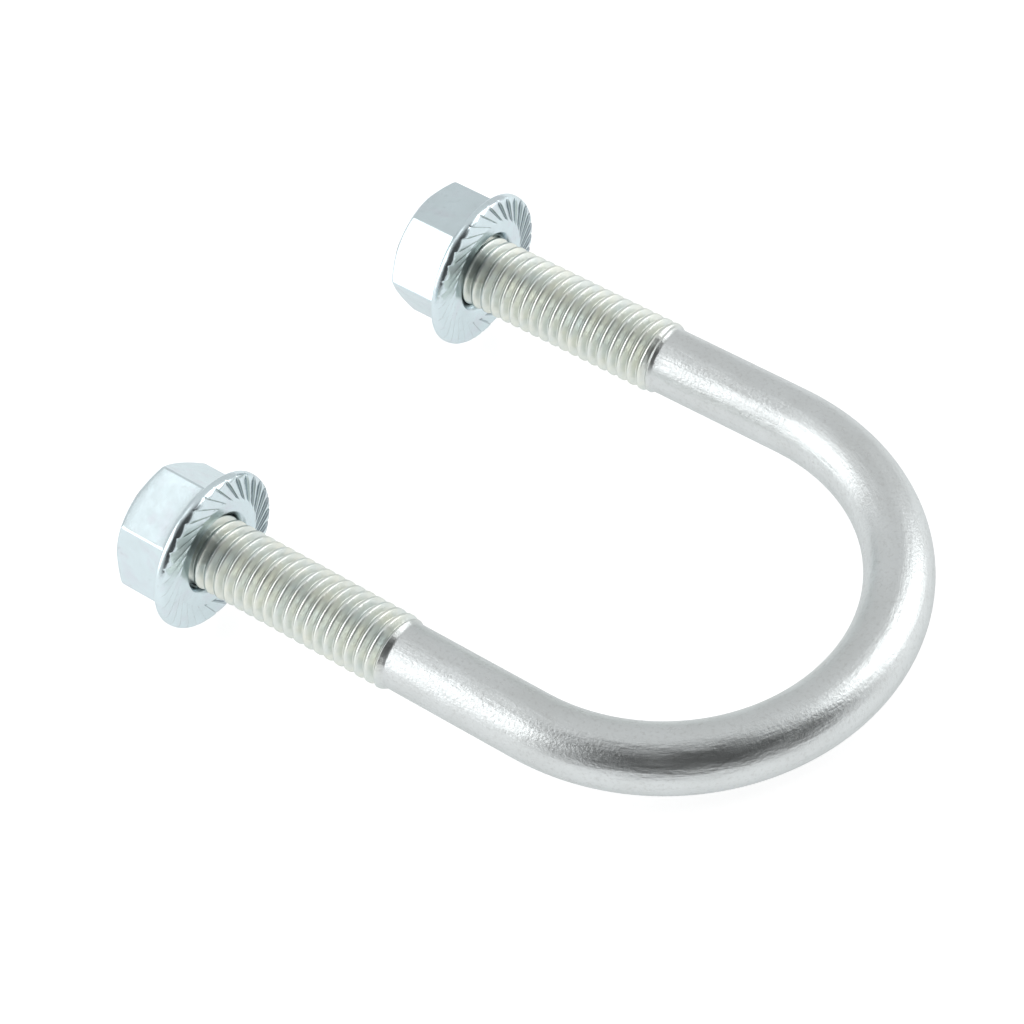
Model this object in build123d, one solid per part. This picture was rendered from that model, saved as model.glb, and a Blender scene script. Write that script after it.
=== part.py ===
from build123d import *
import os
from math import cos, pi, radians, sin, sqrt, tan

# U-bolt: a round bar bent to a U, a rolled M8 x 1.25 thread on each leg, and a serrated
# flange nut on each leg. Millimetres. The U lies in the XY plane: the origin is the centre
# of the bend (the axis of the pipe it holds, along Z), the bend points to +X and the legs
# run to -X, the left one at +Y and the right one at -Y.

# Bar and bend
leg_spacing = 46.0        # leg centre to leg centre
shank_diameter = 7.1      # plain bar, the blank a rolled thread is made from
leg_length = 47.0         # from the centre of the bend to the end of a leg
shank_length = 15.0       # plain straight run between the bend and the thread

# Thread, M8 x 1.25
thread_diameter = 7.87    # over the crests
thread_pitch = 1.25
thread_depth = 0.66       # crest to root
groove_mouth = 1.06       # width of the groove at the crests
groove_floor = 0.22       # width of the groove at the root
groove_overcut = 0.3      # how far the groove's cutter stands out of the crests
thread_runout = 0.9       # length of the cone between the plain bar and the crests
end_chamfer = 0.9

# Flange nut, M8
nut_across_flats = 13.0
nut_height = 8.0
flange_diameter = 17.3
flange_rim = 1.15         # thickness of the flange at its rim
flange_slope = 24.0       # slope of the back of the flange, degrees
front_rounding = 0.85     # radius from the bearing face on to the rim
back_rounding = 0.25      # radius from the rim on to the back of the flange
hex_root_radius = 6.55    # where the sloping back of the flange meets the hexagon's flats
corner_slope = 30.0       # slope of the turned corners at the outer face, degrees
corner_face = 12.3        # diameter of the flat outer face inside those corners
crest_clearance = 0.06    # radial gap between the thread's crests and the nut's bore
mouth_diameter = 9.3      # countersink at each end of the bore
nut_seat = 38.4           # from the centre of the bend to each nut's bearing face
hex_turn = {"left": 7.0, "right": 42.0}     # how far each hexagon is turned about its leg

# Serrations on the bearing face
tooth_count = 32
tooth_inner_radius = 5.9
tooth_depth = 0.36        # at the rim; it fades to nothing near the inner radius
tooth_lead = 0.25         # run of a gap before it bites into the face
tooth_fill = 0.86         # share of the spacing that a gap takes
tooth_swirl = 60.0        # angle between a gap and the radius at its inner end, degrees
tooth_step = 0.005        # depth of a gap's shallow side under the face, so every edge stays clean
cut_clearance = 1.0       # how far a cutter runs past the metal

leg_offset = {"left": leg_spacing / 2, "right": -leg_spacing / 2}
thread_length = leg_length - shank_length


def leg_plane(side, distance):
    """Plane across a leg: its z axis runs along the leg to the free end, its x axis to +Y."""
    return Plane(origin=(-distance, leg_offset[side], 0), x_dir=(0, 1, 0), z_dir=(-1, 0, 0))


def bent_bar():
    """Plain bar swept along two straight runs and the half circle that joins them."""
    half = leg_spacing / 2
    start = (-shank_length, half)
    bend_start = (0, half)
    bend_end = (0, -half)
    finish = (-shank_length, -half)
    route = Line(start, bend_start)
    route += ThreePointArc(bend_start, (half, 0), bend_end)
    route += Line(bend_end, finish)
    section = leg_plane("left", shank_length) * Circle(shank_diameter / 2)
    return sweep(section, path=route)


def thread_blank():
    """Solid of revolution the groove is cut in: run-out cone, crest cylinder, end chamfer."""
    crest = thread_diameter / 2
    outline = Polyline(
        (0, 0),
        (shank_diameter / 2, 0),
        (crest, thread_runout),
        (crest, thread_length - end_chamfer),
        (crest - end_chamfer, thread_length),
        (0, thread_length),
        close=True,
    )
    return revolve(Plane.XZ * make_face(outline), Axis.Z)


def thread_groove():
    """Right-hand helical groove, from the run-out cone to beyond the leg's end."""
    crest = thread_diameter / 2
    mouth = groove_mouth + groove_overcut * (groove_mouth - groove_floor) / thread_depth
    height = thread_length - thread_runout + thread_pitch
    helix = Helix(thread_pitch, height, crest, center=(0, 0, thread_runout))
    outline = Polyline(
        (crest + groove_overcut, thread_runout - mouth / 2),
        (crest + groove_overcut, thread_runout + mouth / 2),
        (crest - thread_depth, thread_runout + groove_floor / 2),
        (crest - thread_depth, thread_runout - groove_floor / 2),
        close=True,
    )
    return sweep(Plane.XZ * make_face(outline), path=helix, is_frenet=True)


def u_bolt():
    """The whole bar: bend, plain shanks and both threaded legs, one solid."""
    threaded = thread_blank() - thread_groove()
    bar = bent_bar()
    for side in leg_offset:
        bar += leg_plane(side, shank_length) * threaded
    return bar


def rim_edges(disc):
    """The flange's widest circles, the one nearest the bearing face first."""
    return disc.edges().filter_by(GeomType.CIRCLE).group_by(SortBy.RADIUS)[-1].sort_by(Axis.Z)


def nut_blank():
    """Hexagon with turned corners on a conical flange; bearing face at z = 0."""
    rim = flange_diameter / 2
    back = flange_rim + (rim - hex_root_radius) * tan(radians(flange_slope))
    flange = Polyline(
        (0, 0),
        (rim, 0),
        (rim, flange_rim),
        (hex_root_radius, back),
        (0, back),
        close=True,
    )
    disc = revolve(Plane.XZ * make_face(flange), Axis.Z)
    disc = fillet(rim_edges(disc)[-1], back_rounding)
    disc = fillet(rim_edges(disc)[0], front_rounding)

    corner = nut_across_flats / 2 / cos(pi / 6)
    drop = (corner - corner_face / 2) * tan(radians(corner_slope))
    turned = Polyline(
        (0, 0),
        (corner, 0),
        (corner, nut_height - drop),
        (corner_face / 2, nut_height),
        (0, nut_height),
        close=True,
    )
    hexagon = extrude(RegularPolygon(corner, 6), nut_height)
    hexagon &= revolve(Plane.XZ * make_face(turned), Axis.Z)
    return disc + hexagon


def nut_bore():
    """Bore with a countersunk mouth at each end."""
    bore = thread_diameter / 2 + crest_clearance
    mouth = mouth_diameter / 2
    outline = Polyline(
        (0, 0),
        (mouth, 0),
        (bore, mouth - bore),
        (bore, nut_height - (mouth - bore)),
        (mouth, nut_height),
        (0, nut_height),
        close=True,
    )
    return revolve(Plane.XZ * make_face(outline), Axis.Z)


def serration():
    """Gap between two teeth: a wedge with one steep side, deepening from the inner ring outward."""
    swirl = radians(tooth_swirl)
    lever = tooth_inner_radius * sin(swirl)
    tangent_run = tooth_inner_radius * cos(swirl)
    rim_run = sqrt((flange_diameter / 2) ** 2 - lever**2) - tangent_run
    run = sqrt((flange_diameter / 2 + cut_clearance) ** 2 - lever**2) - tangent_run
    sections = []
    for distance in (0.0, run):
        spacing = 2 * pi / tooth_count * (tangent_run + distance)
        half = tooth_fill * spacing / 2
        depth = tooth_depth * (distance - tooth_lead) / (rim_run - tooth_lead)
        flat = min(depth, 0.0) - tooth_step
        across = Plane(origin=(distance, 0, 0), x_dir=(0, 1, 0), z_dir=(1, 0, 0))
        gap = Polyline(
            (-half, -cut_clearance),
            (half, -cut_clearance),
            (half, depth),
            (-half, flat),
            close=True,
        )
        sections.append(across * make_face(gap))
    wedge = loft(sections, ruled=True)
    return Pos(tooth_inner_radius, 0, 0) * Rot(0, 0, -tooth_swirl) * wedge


def flange_nut():
    """Finished nut, axis along Z, bearing face at z = 0."""
    nut = nut_blank() - nut_bore()
    gaps = [Rot(0, 0, 360 / tooth_count * i) * serration() for i in range(tooth_count)]
    return nut - gaps


pieces = {"u_bolt": u_bolt()}
for side, turn in hex_turn.items():
    placed = leg_plane(side, nut_seat) * Rot(0, 0, turn) * flange_nut()
    pieces["flange_nut_" + side] = placed

os.makedirs("parts", exist_ok=True)
for name, piece in pieces.items():
    export_step(piece, "parts/" + name + ".step")
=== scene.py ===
import bmesh
import bpy
import numpy as np
from mathutils import Matrix, Vector


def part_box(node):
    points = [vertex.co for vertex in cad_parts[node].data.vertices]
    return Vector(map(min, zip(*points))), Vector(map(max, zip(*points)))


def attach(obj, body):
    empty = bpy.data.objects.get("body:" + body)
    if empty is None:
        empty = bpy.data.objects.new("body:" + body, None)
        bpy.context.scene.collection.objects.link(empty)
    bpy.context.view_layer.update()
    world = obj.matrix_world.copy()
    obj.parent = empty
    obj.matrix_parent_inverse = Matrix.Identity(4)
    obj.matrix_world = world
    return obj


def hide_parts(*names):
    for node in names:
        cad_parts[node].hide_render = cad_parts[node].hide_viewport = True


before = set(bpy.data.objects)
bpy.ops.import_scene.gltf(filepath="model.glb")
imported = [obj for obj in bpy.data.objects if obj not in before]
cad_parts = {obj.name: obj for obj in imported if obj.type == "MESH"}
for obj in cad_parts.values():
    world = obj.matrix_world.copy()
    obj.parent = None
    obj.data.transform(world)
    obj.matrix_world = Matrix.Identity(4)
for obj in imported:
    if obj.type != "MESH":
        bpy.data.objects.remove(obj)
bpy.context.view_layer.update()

# ---------------------------------------------------------------------------------------------
# The bent bar. One length of mild-steel round bar is cropped, its two ends are rolled with an
# M8 thread, then it is bent round a former to a U and zinc plated. The crests of the rolled
# thread stand a little proud of the plain bar, and fade into it over the last turn.

bar_low, bar_high = (np.array(corner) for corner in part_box("u_bolt"))
crest_radius = (bar_high[2] - bar_low[2]) / 2
leg_offset = (bar_high[1] - bar_low[1]) / 2 - crest_radius
bar_radius = bar_high[0] - leg_offset
leg_length = -bar_low[0]

shank_length = 0.0150         # plain straight run between the bend and each thread
thread_pitch = 0.00125
thread_depth = 0.00064        # crest to root
groove_mouth = 0.00099        # width of the groove at the crests
groove_floor = 0.00012        # width of the groove at the root
corner_easing = 0.15          # how far the groove's corners are eased
runout_cone = 0.0009          # length over which the crests come down to the plain bar
tip_chamfer = 0.0009
turn_columns = 88             # mesh columns round the bar
bend_rows = 120               # mesh rows along the plain bar
drawn_out = 7.0               # how much longer than wide the drawing marks are


def grid_mesh(name, sheets, merge=2e-6):
    """Closed mesh from grids of points. Each sheet is (points, u, v) with rows along the first
    axis; neighbouring rows and columns are joined by quads, and points that meet are merged."""
    places, faces, coords, start = [], [], [], 0
    for points, u, v in sheets:
        rows, columns = points.shape[:2]
        index = start + np.arange(rows * columns).reshape(rows, columns)
        corners = (index[:-1, :-1], index[:-1, 1:], index[1:, 1:], index[1:, :-1])
        faces.append(np.stack(corners, axis=-1).reshape(-1, 4))
        places.append(points.reshape(-1, 3))
        coords.append(np.stack((u, v), axis=-1).reshape(-1, 2))
        start += rows * columns
    places, faces, coords = np.concatenate(places), np.concatenate(faces), np.concatenate(coords)
    mesh = bpy.data.meshes.new(name)
    mesh.vertices.add(len(places))
    mesh.vertices.foreach_set("co", places.ravel())
    mesh.loops.add(faces.size)
    mesh.loops.foreach_set("vertex_index", faces.ravel())
    mesh.polygons.add(len(faces))
    mesh.polygons.foreach_set("loop_start", np.arange(0, faces.size, 4))
    mesh.update(calc_edges=True)
    layer = mesh.uv_layers.new(name="surface")
    layer.data.foreach_set("uv", coords[faces.ravel()].ravel())
    work = bmesh.new()
    work.from_mesh(mesh)
    bmesh.ops.remove_doubles(work, verts=work.verts, dist=merge)
    bmesh.ops.recalc_face_normals(work, faces=work.faces)
    work.to_mesh(mesh)
    work.free()
    mesh.polygons.foreach_set("use_smooth", np.ones(len(mesh.polygons), dtype=bool))
    mesh.update()
    made = bpy.data.objects.new(name, mesh)
    bpy.context.scene.collection.objects.link(made)
    return made


def eased(x):
    """Smooth step: 3x^2 - 2x^3 with x held between 0 and 1."""
    x = np.clip(x, 0.0, 1.0)
    return x * x * (3 - 2 * x)


def bar_point(s, angle, radius):
    """Point on the bar: s runs along the centre line from one leg's tip, down the leg, round
    the half circle and up the other leg; angle and radius are taken across the bar there."""
    bend_length = np.pi * leg_offset
    turn = np.clip((s - leg_length) / leg_offset, 0.0, np.pi)
    before = np.minimum(s - leg_length, 0.0)
    after = np.maximum(s - leg_length - bend_length, 0.0)
    out_x, out_y = np.sin(turn), np.cos(turn)
    x = leg_offset * out_x + before - after
    y = leg_offset * out_y
    outward, upward = radius * np.cos(angle), radius * np.sin(angle)
    return np.stack((x + out_x * outward, y + out_y * outward, -upward), axis=-1)


def thread_radius(from_tip, phase):
    """Radius over a leg's thread. A narrow-floored groove with straight flanks and rounded
    corners repeats once per pitch; it fades out over the last turn before the plain bar,
    where the crest comes down a short cone, and the crest is chamfered at the tip."""
    across = np.abs((phase % 1.0) - 0.5) * thread_pitch
    flank = (groove_mouth - groove_floor) / 2
    lift = np.clip((across - groove_floor / 2) / flank, 0.0, 1.0)
    rounded = lift + corner_easing * (eased(lift) - lift)
    to_shank = leg_length - shank_length - from_tip
    depth = thread_depth * eased(to_shank / thread_pitch)
    threaded = crest_radius - depth * (1 - rounded)
    cone = bar_radius + (crest_radius - bar_radius) * eased(to_shank / runout_cone)
    chamfer = crest_radius - tip_chamfer + np.maximum(from_tip, 0.0)
    return np.minimum(np.minimum(threaded, cone), chamfer)


def thread_sheet(tip_at, toward):
    """Grid over one leg's thread whose rows follow the helix: row phase p and angle a sit at
    pitch * (p + a / 2 pi) along the leg, held between the tip and the plain bar. The groove
    lies at a phase of a half, and the rows crowd together at its floor and its mouth."""
    floor = groove_floor / 2 / thread_pitch
    mouth = groove_mouth / 2 / thread_pitch
    half = np.array([0.0, floor, floor + 0.03, 0.13, 0.21, 0.29, mouth - 0.035, mouth])
    crest = 0.999
    one_turn = np.sort(np.concatenate((0.5 - half, 0.5 + half[1:], [crest])))
    turns = int(np.ceil((leg_length - shank_length) / thread_pitch)) + 1
    phases = (np.arange(-2, turns)[:, None] + one_turn[None, :]).ravel()
    angle = np.linspace(0, 2 * np.pi, turn_columns + 1)[None, :]
    along = thread_pitch * (phases[:, None] + angle / (2 * np.pi))
    along = np.clip(along, 0.0, leg_length - shank_length)
    phase = along / thread_pitch - angle / (2 * np.pi)
    angle = np.broadcast_to(angle, along.shape)
    radius = thread_radius(along, phase)
    s = tip_at + toward * along
    spin = toward * angle
    return bar_point(s, spin, radius), s, spin / (2 * np.pi)


def plain_sheet(start, finish, rows):
    """Grid over the plain bar between two places on the centre line, one row to a ring."""
    s = np.linspace(start, finish, rows)[:, None]
    angle = np.linspace(0, 2 * np.pi, turn_columns + 1)[None, :]
    s, angle = np.broadcast_arrays(s, angle)
    return bar_point(s, angle, np.full(s.shape, bar_radius)), s, angle / (2 * np.pi)


def tip_sheet(tip_at):
    """Flat end of a leg: rings from the chamfer's edge to the centre."""
    radius = np.linspace(crest_radius - tip_chamfer, 0.0, 5)[:, None]
    angle = np.linspace(0, 2 * np.pi, turn_columns + 1)[None, :]
    radius, angle = np.broadcast_arrays(radius, angle)
    s = np.full(radius.shape, tip_at)
    return bar_point(s, angle, radius), s, angle / (2 * np.pi)


bar_run = 2 * leg_length + np.pi * leg_offset
thread_run = leg_length - shank_length
bar = grid_mesh("bent_bar", [
    tip_sheet(0.0),
    thread_sheet(0.0, 1),
    plain_sheet(thread_run, bar_run - thread_run, bend_rows),
    thread_sheet(bar_run, -1),
    tip_sheet(bar_run),
])


def noise(nodes, links, place, scale, low, high, detail=3.0, spread=(0.3, 0.7)):
    """Noise read at a place and carried from its usual spread to the span low to high."""
    source = nodes.new("ShaderNodeTexNoise")
    source.inputs["Scale"].default_value = scale
    source.inputs["Detail"].default_value = detail
    source.inputs["Roughness"].default_value = 0.6
    links.new(place, source.inputs["Vector"])
    span = nodes.new("ShaderNodeMapRange")
    span.inputs["From Min"].default_value, span.inputs["From Max"].default_value = spread
    span.inputs["To Min"].default_value, span.inputs["To Max"].default_value = low, high
    links.new(source.outputs["Fac"], span.inputs["Value"])
    return span.outputs["Result"]


def blend(nodes, links, amount, first, second):
    """Mix of two colours, each a plain colour or another node's output, by an amount."""
    mixed = nodes.new("ShaderNodeMix")
    mixed.data_type = "RGBA"
    links.new(amount, mixed.inputs["Factor"])
    for colour, socket in ((first, mixed.inputs["A"]), (second, mixed.inputs["B"])):
        if isinstance(colour, tuple):
            socket.default_value = (*colour, 1.0)
        else:
            links.new(colour, socket)
    return mixed.outputs["Result"]


def summed(nodes, links, first, second):
    """Sum of two heights."""
    total = nodes.new("ShaderNodeMath")
    total.operation = "ADD"
    links.new(first, total.inputs[0])
    links.new(second, total.inputs[1])
    return total.outputs["Value"]


def plated(name):
    """New metal finish; returns it with its nodes, links, shader and place on the piece."""
    finish = bpy.data.materials.new(name)
    finish.use_nodes = True
    nodes, links = finish.node_tree.nodes, finish.node_tree.links
    shader = nodes["Principled BSDF"]
    shader.inputs["Metallic"].default_value = 1.0
    shader.inputs["Specular Tint"].default_value = (0.80, 0.82, 0.82, 1.0)
    place = nodes.new("ShaderNodeTexCoord").outputs["Object"]
    return finish, nodes, links, shader, place


def relief(nodes, links, shader, microns):
    """Raises the surface by a height given in thousandths of a millimetre."""
    bump = nodes.new("ShaderNodeBump")
    bump.inputs["Strength"].default_value = 1.0
    bump.inputs["Distance"].default_value = 0.000001
    links.new(microns, bump.inputs["Height"])
    links.new(bump.outputs["Normal"], shader.inputs["Normal"])


def unrolled_place(nodes, links, stretch):
    """Place on the bar laid out straight: its round section, and the run along it shortened
    by the stretch, so that a pattern read there draws out along the bar without a seam."""
    along_round = nodes.new("ShaderNodeSeparateXYZ")
    laid_out = nodes.new("ShaderNodeUVMap")
    laid_out.uv_map = "surface"
    links.new(laid_out.outputs["UV"], along_round.inputs["Vector"])
    straight = nodes.new("ShaderNodeCombineXYZ")
    for operation, socket in (("COSINE", "X"), ("SINE", "Y")):
        turned = nodes.new("ShaderNodeMath")
        turned.operation = "MULTIPLY"
        turned.inputs[1].default_value = 2 * np.pi
        links.new(along_round.outputs["Y"], turned.inputs[0])
        wave = nodes.new("ShaderNodeMath")
        wave.operation = operation
        links.new(turned.outputs["Value"], wave.inputs[0])
        sized = nodes.new("ShaderNodeMath")
        sized.operation = "MULTIPLY"
        sized.inputs[1].default_value = bar_radius
        links.new(wave.outputs["Value"], sized.inputs[0])
        links.new(sized.outputs["Value"], straight.inputs[socket])
    shortened = nodes.new("ShaderNodeMath")
    shortened.operation = "DIVIDE"
    shortened.inputs[1].default_value = stretch
    links.new(along_round.outputs["X"], shortened.inputs[0])
    links.new(shortened.outputs["Value"], straight.inputs["Z"])
    return straight.outputs["Vector"]


def threaded_share(nodes, links, place):
    """0 on the plain bar, rising to 1 within the first turn of each thread."""
    split = nodes.new("ShaderNodeSeparateXYZ")
    links.new(place, split.inputs["Vector"])
    share = nodes.new("ShaderNodeMapRange")
    share.inputs["From Min"].default_value = -shank_length
    share.inputs["From Max"].default_value = -shank_length - thread_pitch
    links.new(split.outputs["X"], share.inputs["Value"])
    return share.outputs["Result"]


bar_zinc, nodes, links, shader, place = plated("zinc_on_bar")
drawn = unrolled_place(nodes, links, drawn_out)
in_thread = threaded_share(nodes, links, place)
clouds = noise(nodes, links, place, 150, 0.0, 1.0)
plain_zinc = blend(nodes, links, clouds, (0.635, 0.665, 0.67), (0.58, 0.605, 0.605))
flecks = noise(nodes, links, place, 2600, 0.0, 0.4, 4.0, (0.52, 0.70))
plain_zinc = blend(nodes, links, flecks, plain_zinc, (0.43, 0.44, 0.43))
film = noise(nodes, links, place, 420, 0.0, 1.0, 2.0)
thread_zinc = blend(nodes, links, film, (0.75, 0.77, 0.70), (0.67, 0.72, 0.70))
links.new(blend(nodes, links, in_thread, plain_zinc, thread_zinc), shader.inputs["Base Color"])
plain_gloss = noise(nodes, links, drawn, 1500, 0.27, 0.40, 4.0)
# The thread is a touch rougher than the plain bar.
gloss = nodes.new("ShaderNodeMath")
gloss.operation = "MULTIPLY_ADD"
gloss.inputs[1].default_value = 0.02
links.new(in_thread, gloss.inputs[0])
links.new(plain_gloss, gloss.inputs[2])
links.new(gloss.outputs["Value"], shader.inputs["Roughness"])
streaks = noise(nodes, links, drawn, 1500, 0.0, 30.0, 6.0)
grit = noise(nodes, links, place, 3000, 0.0, 12.0, 3.0)
relief(nodes, links, shader, summed(nodes, links, streaks, grit))

bar.data.materials.append(bar_zinc)
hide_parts("u_bolt")
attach(bar, "u_bolt")

# ---------------------------------------------------------------------------------------------
# The two serrated flange nuts. Each is one cold-formed piece of steel: a hexagon with turned
# corners on a conical flange whose bearing face carries swirled ratchet teeth, tapped M8 and
# zinc plated. They are run by hand on to the ends of the legs, flange towards the bend.

across_flats = 0.0130
corner_sharpness = 90                 # power of the mean that rounds the hexagon's corners
flange_slope = np.radians(24)         # slope of the back of the flange
corner_slope = np.radians(30)         # slope of the turned corners at the outer face
outer_face_radius = 0.00615
flange_rim = 0.00115                  # thickness of the flange at its rim
mouth_radius = 0.00465
bore_clearance = 0.00006
bore_radius = crest_radius + bore_clearance
bore_thread_depth = 0.00036
hexagon_turn = {"flange_nut_left": np.radians(7), "flange_nut_right": np.radians(42)}

tooth_count = 32
tooth_inner = 0.0059                  # radius of the plain ring inside the teeth
tooth_depth = 0.00034                 # at the rim
tooth_swirl = np.radians(60)          # from the radius, at a tooth's inner end
tooth_land = 0.16                     # share of the spacing that stays level
tooth_foot = 0.97                     # share of the spacing where a tooth's steep side starts
tooth_step = 0.42                     # share of the depth that is reached at the inner ring
tooth_lead = 0.00030                  # run over which that step is eased in

columns_per_tooth = 18
trim_rows = 7                         # mesh rows over each rounded corner of the section
bearing_rows = 24
flange_rows = 4
flat_rows = 5
bore_rows = 56
corner_trims = {
    "bearing mouth": 0.00012,
    "bearing rim": 0.00092,
    "flange rim": 0.00020,
    "flange root": 0.00045,
    "hexagon top": 0.00035,
    "outer face": 0.00020,
    "outer mouth": 0.00012,
}


def hexagon_radius(angle):
    """Distance from the nut's axis to its rounded hexagon: half the flats over the power mean,
    with a high power, of the cosines towards the six flats."""
    towards = angle[None, :] - np.pi / 6 - np.arange(6)[:, None] * np.pi / 3
    cosines = np.maximum(np.cos(towards), 0.0)
    return across_flats / 2 / np.sum(cosines**corner_sharpness, axis=0) ** (1 / corner_sharpness)


def rounded_corner(before, corner, after, trim):
    """Rows over one corner of a section, each (radius, height) over all columns: a parabola
    that starts and ends a trim away from the corner, along its two sides:
    (1-t)^2 a + 2t(1-t) corner + t^2 b."""
    t = np.linspace(0, 1, trim_rows)[:, None, None]
    first, last = before - corner, after - corner
    first = corner + trim * first / np.linalg.norm(first, axis=-1, keepdims=True)
    last = corner + trim * last / np.linalg.norm(last, axis=-1, keepdims=True)
    return (1 - t) ** 2 * first + 2 * t * (1 - t) * corner + t**2 * last


def spaced(a, b, count):
    """Rows strictly between two section rows, evenly spaced: a + (b - a) t."""
    t = np.linspace(0, 1, count + 2)[1:-1, None, None]
    return a + (b - a) * t


def nut_sheet(node):
    """Whole nut as one sheet closed both ways: out across the toothed bearing face, round the
    rim, up the back of the flange and the hexagon, in over the outer face and back down the
    threaded bore. Columns turn about the axis and are swept back along the teeth on the
    bearing face, at swirl - arcsin(inner sin(swirl) / r), so that every tooth edge lies on a
    grid line; the bore's rows unwind that turn again. Height runs away from the bend."""
    low, high = (np.array(corner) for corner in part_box(node))
    tall, rim = high[0] - low[0], (high[2] - low[2]) / 2
    column = np.linspace(0, 2 * np.pi, tooth_count * columns_per_tooth + 1)
    rim_lean = tooth_swirl - np.arcsin(tooth_inner * np.sin(tooth_swirl) / rim)
    flat = hexagon_radius(column - rim_lean - hexagon_turn[node])

    def ring(radius, height):
        """One section point repeated round the axis, or varying with the column."""
        radius, height = np.broadcast_arrays(radius + 0 * column, height + 0 * column)
        return np.stack((radius, height), axis=-1)

    sink = mouth_radius - bore_radius
    flange_top = flange_rim + (rim - flat) * np.tan(flange_slope)
    hexagon_top = tall - (flat - outer_face_radius) * np.tan(corner_slope)
    corners = [ring(bore_radius, sink), ring(mouth_radius, 0), ring(rim, 0), ring(rim, flange_rim),
               ring(flat, flange_top), ring(flat, hexagon_top), ring(outer_face_radius, tall),
               ring(mouth_radius, tall), ring(bore_radius, tall - sink)]
    mouth, edge, back_edge, root, top, face, outer_mouth = (
        rounded_corner(before, corner, after, trim)
        for before, corner, after, trim in zip(corners, corners[1:], corners[2:], corner_trims.values())
    )
    bearing = spaced(mouth[-1], edge[0], bearing_rows)
    cone = spaced(back_edge[-1], root[0], flange_rows)
    side = spaced(root[-1], top[0], flat_rows)

    height = np.linspace(tall - sink, sink, bore_rows + 2)[1:-1, None]
    phase = (height / thread_pitch + column[None, :] / (2 * np.pi)) % 1.0
    fade = eased((height - sink) / thread_pitch) * eased((tall - sink - height) / thread_pitch)
    cut = bore_thread_depth * eased(1.6 - 4.2 * np.abs(phase - 0.5)) * fade
    bore = np.stack(np.broadcast_arrays(bore_radius + cut, height), axis=-1)
    section = np.concatenate((corners[:1], mouth, bearing, edge, back_edge, cone, root, side,
                              top, face, outer_mouth, corners[-1:], bore, corners[:1]))

    radius, height = section[..., 0], section[..., 1]
    past_inner = np.maximum(radius - tooth_inner, 0.0)
    across_tooth = (column * tooth_count / (2 * np.pi)) % 1.0
    ramp = np.clip((across_tooth - tooth_land) / (tooth_foot - tooth_land), 0.0, 1.0)
    outward = past_inner / (rim - tooth_inner)
    fall = tooth_step * eased(past_inner / tooth_lead) + (1 - tooth_step) * outward
    floor = tooth_depth * fall * ramp[None, :]
    face_rows = 1 + trim_rows + bearing_rows + trim_rows
    row = np.arange(len(section))[:, None]
    height = np.where(row < face_rows, np.maximum(height, floor), height)
    held = np.clip(radius, tooth_inner, rim)
    lean = tooth_swirl - np.arcsin(tooth_inner * np.sin(tooth_swirl) / held)
    bore_from = len(section) - 1 - bore_rows
    unwound = rim_lean * (len(section) - 1 - row) / bore_rows
    sweep = np.where(row < face_rows, lean, np.where(row < bore_from, rim_lean, unwound))
    angle = column[None, :] - sweep
    centre = (low[1] + high[1]) / 2
    x, y, z = high[0] - height, centre + radius * np.cos(angle), -radius * np.sin(angle)
    around = np.broadcast_to(column[None, :] / (2 * np.pi), height.shape)
    along = np.where(row < face_rows, radius / rim, 2 + row / len(section))
    return np.stack((x, y, z), axis=-1), along, around


nuts = {node: grid_mesh("nut_" + node.split("_")[-1], [nut_sheet(node)]) for node in hexagon_turn}


def ramped(nodes, links, source, stops):
    """Grey level read from a ramp: stops are (position, level) pairs, in rising order."""
    ramp = nodes.new("ShaderNodeValToRGB")
    elements = ramp.color_ramp.elements
    elements.remove(elements[-1])
    for count, (position, level) in enumerate(stops):
        stop = elements.new(position) if count else elements[0]
        stop.position = position
        stop.color = (level, level, level, 1)
    links.new(source, ramp.inputs["Fac"])
    return ramp.outputs["Color"]


def tooth_root_shade(nodes, links):
    """Painted shade in the tooth gaps: a thin dark line at the foot of each tooth's steep side,
    from just outside the inner ring to where the face rounds over into the rim, standing in for
    the shade that falls in the recess there. The piece's map holds the share of a turn in Y and,
    on the bearing face, the share of the rim's radius in X; a ramp's positions run from 0 to 1,
    so X, which goes on to 3, is halved for it."""
    laid_out = nodes.new("ShaderNodeUVMap")
    laid_out.uv_map = "surface"
    split = nodes.new("ShaderNodeSeparateXYZ")
    links.new(laid_out.outputs["UV"], split.inputs["Vector"])
    share = nodes.new("ShaderNodeMath")
    share.operation = "MULTIPLY"
    share.inputs[1].default_value = tooth_count
    links.new(split.outputs["Y"], share.inputs[0])
    phase = nodes.new("ShaderNodeMath")
    phase.operation = "FRACT"
    links.new(share.outputs["Value"], phase.inputs[0])
    halved = nodes.new("ShaderNodeMath")
    halved.operation = "DIVIDE"
    halved.inputs[1].default_value = 2.0
    links.new(split.outputs["X"], halved.inputs[0])
    line = ramped(nodes, links, phase.outputs["Value"], [(0.88, 0), (0.98, 1)])
    reach = ramped(nodes, links, halved.outputs["Value"],
                   [(0.335, 0), (0.35, 1), (0.46, 1), (0.49, 0)])
    both = nodes.new("ShaderNodeMath")
    both.operation = "MULTIPLY"
    links.new(line, both.inputs[0])
    links.new(reach, both.inputs[1])
    return both.outputs["Value"]


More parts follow.
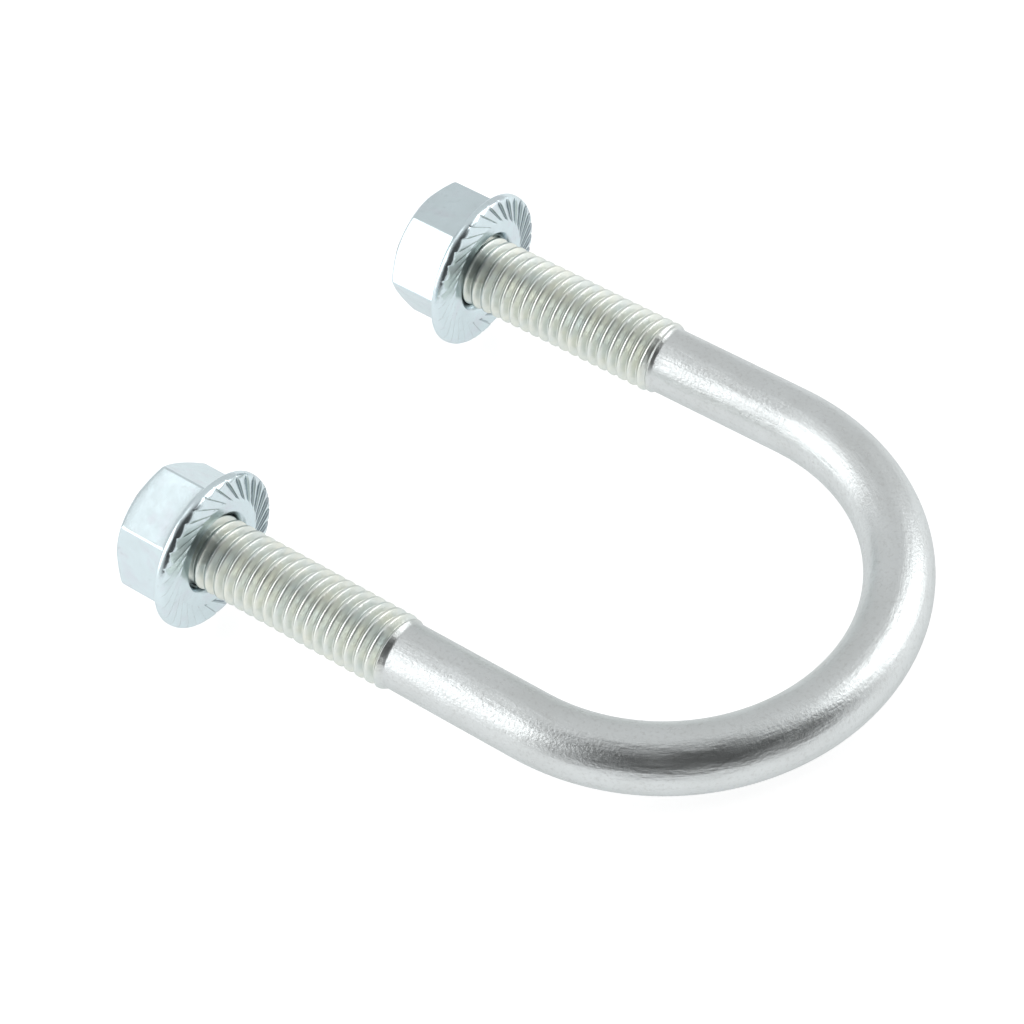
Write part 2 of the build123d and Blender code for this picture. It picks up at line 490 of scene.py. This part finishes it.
nut_zinc, nodes, links, shader, place = plated("zinc_on_nuts")
clouds = noise(nodes, links, place, 260, 0.0, 1.0)
blue_zinc = blend(nodes, links, clouds, (0.64, 0.74, 0.775), (0.60, 0.69, 0.72))
blush = noise(nodes, links, place, 420, 0.0, 0.6, 2.0, (0.5, 0.7))
blue_zinc = blend(nodes, links, blush, blue_zinc, (0.61, 0.655, 0.705))
flecks = noise(nodes, links, place, 1900, 0.0, 0.4, 4.0, (0.58, 0.76))
blue_zinc = blend(nodes, links, flecks, blue_zinc, (0.46, 0.52, 0.54))
# Painted shade: a darker line at the foot of each tooth's steep side on the bearing face.
blue_zinc = blend(nodes, links, tooth_root_shade(nodes, links), blue_zinc, (0.34, 0.40, 0.43))
links.new(blue_zinc, shader.inputs["Base Color"])
links.new(noise(nodes, links, place, 700, 0.17, 0.27, 4.0), shader.inputs["Roughness"])
ripple = noise(nodes, links, place, 650, 0.0, 5.0, 2.0)
grit = noise(nodes, links, place, 4200, 0.0, 1.2, 2.0)
relief(nodes, links, shader, summed(nodes, links, ripple, grit))

for node, nut in nuts.items():
    nut.data.materials.append(nut_zinc)
    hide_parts(node)
    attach(nut, node)

# ---------------------------------------------------------------------------------------------
# The table, the light tent and the camera. The bolt lies on a white sheet, on the rims of its
# two flanges and the underside of the bend, so the sheet slopes by a few degrees against it.

rim_drop = -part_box("flange_nut_left")[0][2]
rim_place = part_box("flange_nut_left")[1][0]
slope = (rim_drop - bar_radius) / (leg_offset - rim_place)
sheet_size = 1.5
sheet_gap = 0.0001
corners = sheet_size * np.array([(-1, -1), (1, -1), (1, 1), (-1, 1)])
heights = -rim_drop + slope * (corners[:, 0] - rim_place) - sheet_gap
sheet = bpy.data.meshes.new("table_sheet")
sheet.from_pydata(np.column_stack((corners, heights)).tolist(), [], [(0, 1, 2, 3)])
table = bpy.data.objects.new("table_sheet", sheet)
bpy.context.scene.collection.objects.link(table)
paper = bpy.data.materials.new("white_paper")
paper.use_nodes = True
paper_shader = paper.node_tree.nodes["Principled BSDF"]
paper_shader.inputs["Base Color"].default_value = (0.38, 0.38, 0.38, 1)
paper_shader.inputs["Roughness"].default_value = 0.9
paper_shader.inputs["Emission Color"].default_value = (1, 1, 1, 1)
paper_shader.inputs["Emission Strength"].default_value = 0.80
table.data.materials.append(paper)

# The tent is evenly white but for its opening, which is dark and faces the camera's side.
world = bpy.data.worlds.new("tent")
world.use_nodes = True
tent_nodes, tent_links = world.node_tree.nodes, world.node_tree.links
heading = tent_nodes.new("ShaderNodeTexCoord")
opening = tent_nodes.new("ShaderNodeVectorMath")
opening.operation = "DOT_PRODUCT"
opening.inputs[1].default_value = (0.55, -0.52, 0.65)
tent_links.new(heading.outputs["Generated"], opening.inputs[0])
dimmed = tent_nodes.new("ShaderNodeMapRange")
dimmed.interpolation_type = "SMOOTHSTEP"
dimmed.inputs["From Min"].default_value = 0.45
dimmed.inputs["From Max"].default_value = 0.85
dimmed.inputs["To Min"].default_value = 0.80
dimmed.inputs["To Max"].default_value = 0.07
tent_links.new(opening.outputs["Value"], dimmed.inputs["Value"])
tent_links.new(dimmed.outputs["Result"], tent_nodes["Background"].inputs["Strength"])
tent_nodes["Background"].inputs["Color"].default_value = (1, 1, 1, 1)
bpy.context.scene.world = world
bpy.context.scene.view_settings.view_transform = "Standard"


def soft_light(name, azimuth, elevation, distance, width, height, power):
    """Rectangular softbox on a sphere round the object, turned to face its centre."""
    a, e = np.radians(azimuth), np.radians(elevation)
    back = Vector((np.sin(a) * np.cos(e), -np.cos(a) * np.cos(e), np.sin(e)))
    data = bpy.data.lights.new(name, "AREA")
    data.shape = "RECTANGLE"
    data.size, data.size_y, data.energy = width, height, power
    light = bpy.data.objects.new(name, data)
    light.location = back * distance
    light.rotation_mode = "QUATERNION"
    light.rotation_quaternion = (-back).to_track_quat("-Z", "Y")
    bpy.context.scene.collection.objects.link(light)


# A box on each side of the bolt, and a small card high over the ends of the legs.
soft_light("left_box", 315, 25, 0.9, 0.75, 0.90, 3.6)
soft_light("top_card", 279, 65, 0.9, 0.30, 0.30, 0.20)
soft_light("right_box", 143, 36, 0.9, 0.60, 0.90, 3.1)

view_azimuth, view_elevation, view_roll = np.radians((39.24, 50.52, 4.61))
aim = Vector((-0.01690, -0.00251, 0.0))
view_distance = 0.34
toward_camera = Vector((np.sin(view_azimuth) * np.cos(view_elevation),
                        -np.cos(view_azimuth) * np.cos(view_elevation), np.sin(view_elevation)))
level = Vector((np.cos(view_azimuth), np.sin(view_azimuth), 0.0))
upright = toward_camera.cross(level)
right = np.cos(view_roll) * level - np.sin(view_roll) * upright
up = toward_camera.cross(right)
camera_data = bpy.data.cameras.new("camera")
camera_data.lens = 118.9
camera_data.sensor_width = 36
camera_data.clip_start, camera_data.clip_end = 0.01, 10
camera = bpy.data.objects.new("camera", camera_data)
stand = Matrix((right, up, toward_camera)).transposed().to_4x4()
stand.translation = aim + view_distance * toward_camera
camera.matrix_world = stand
bpy.context.scene.collection.objects.link(camera)
bpy.context.scene.camera = camera
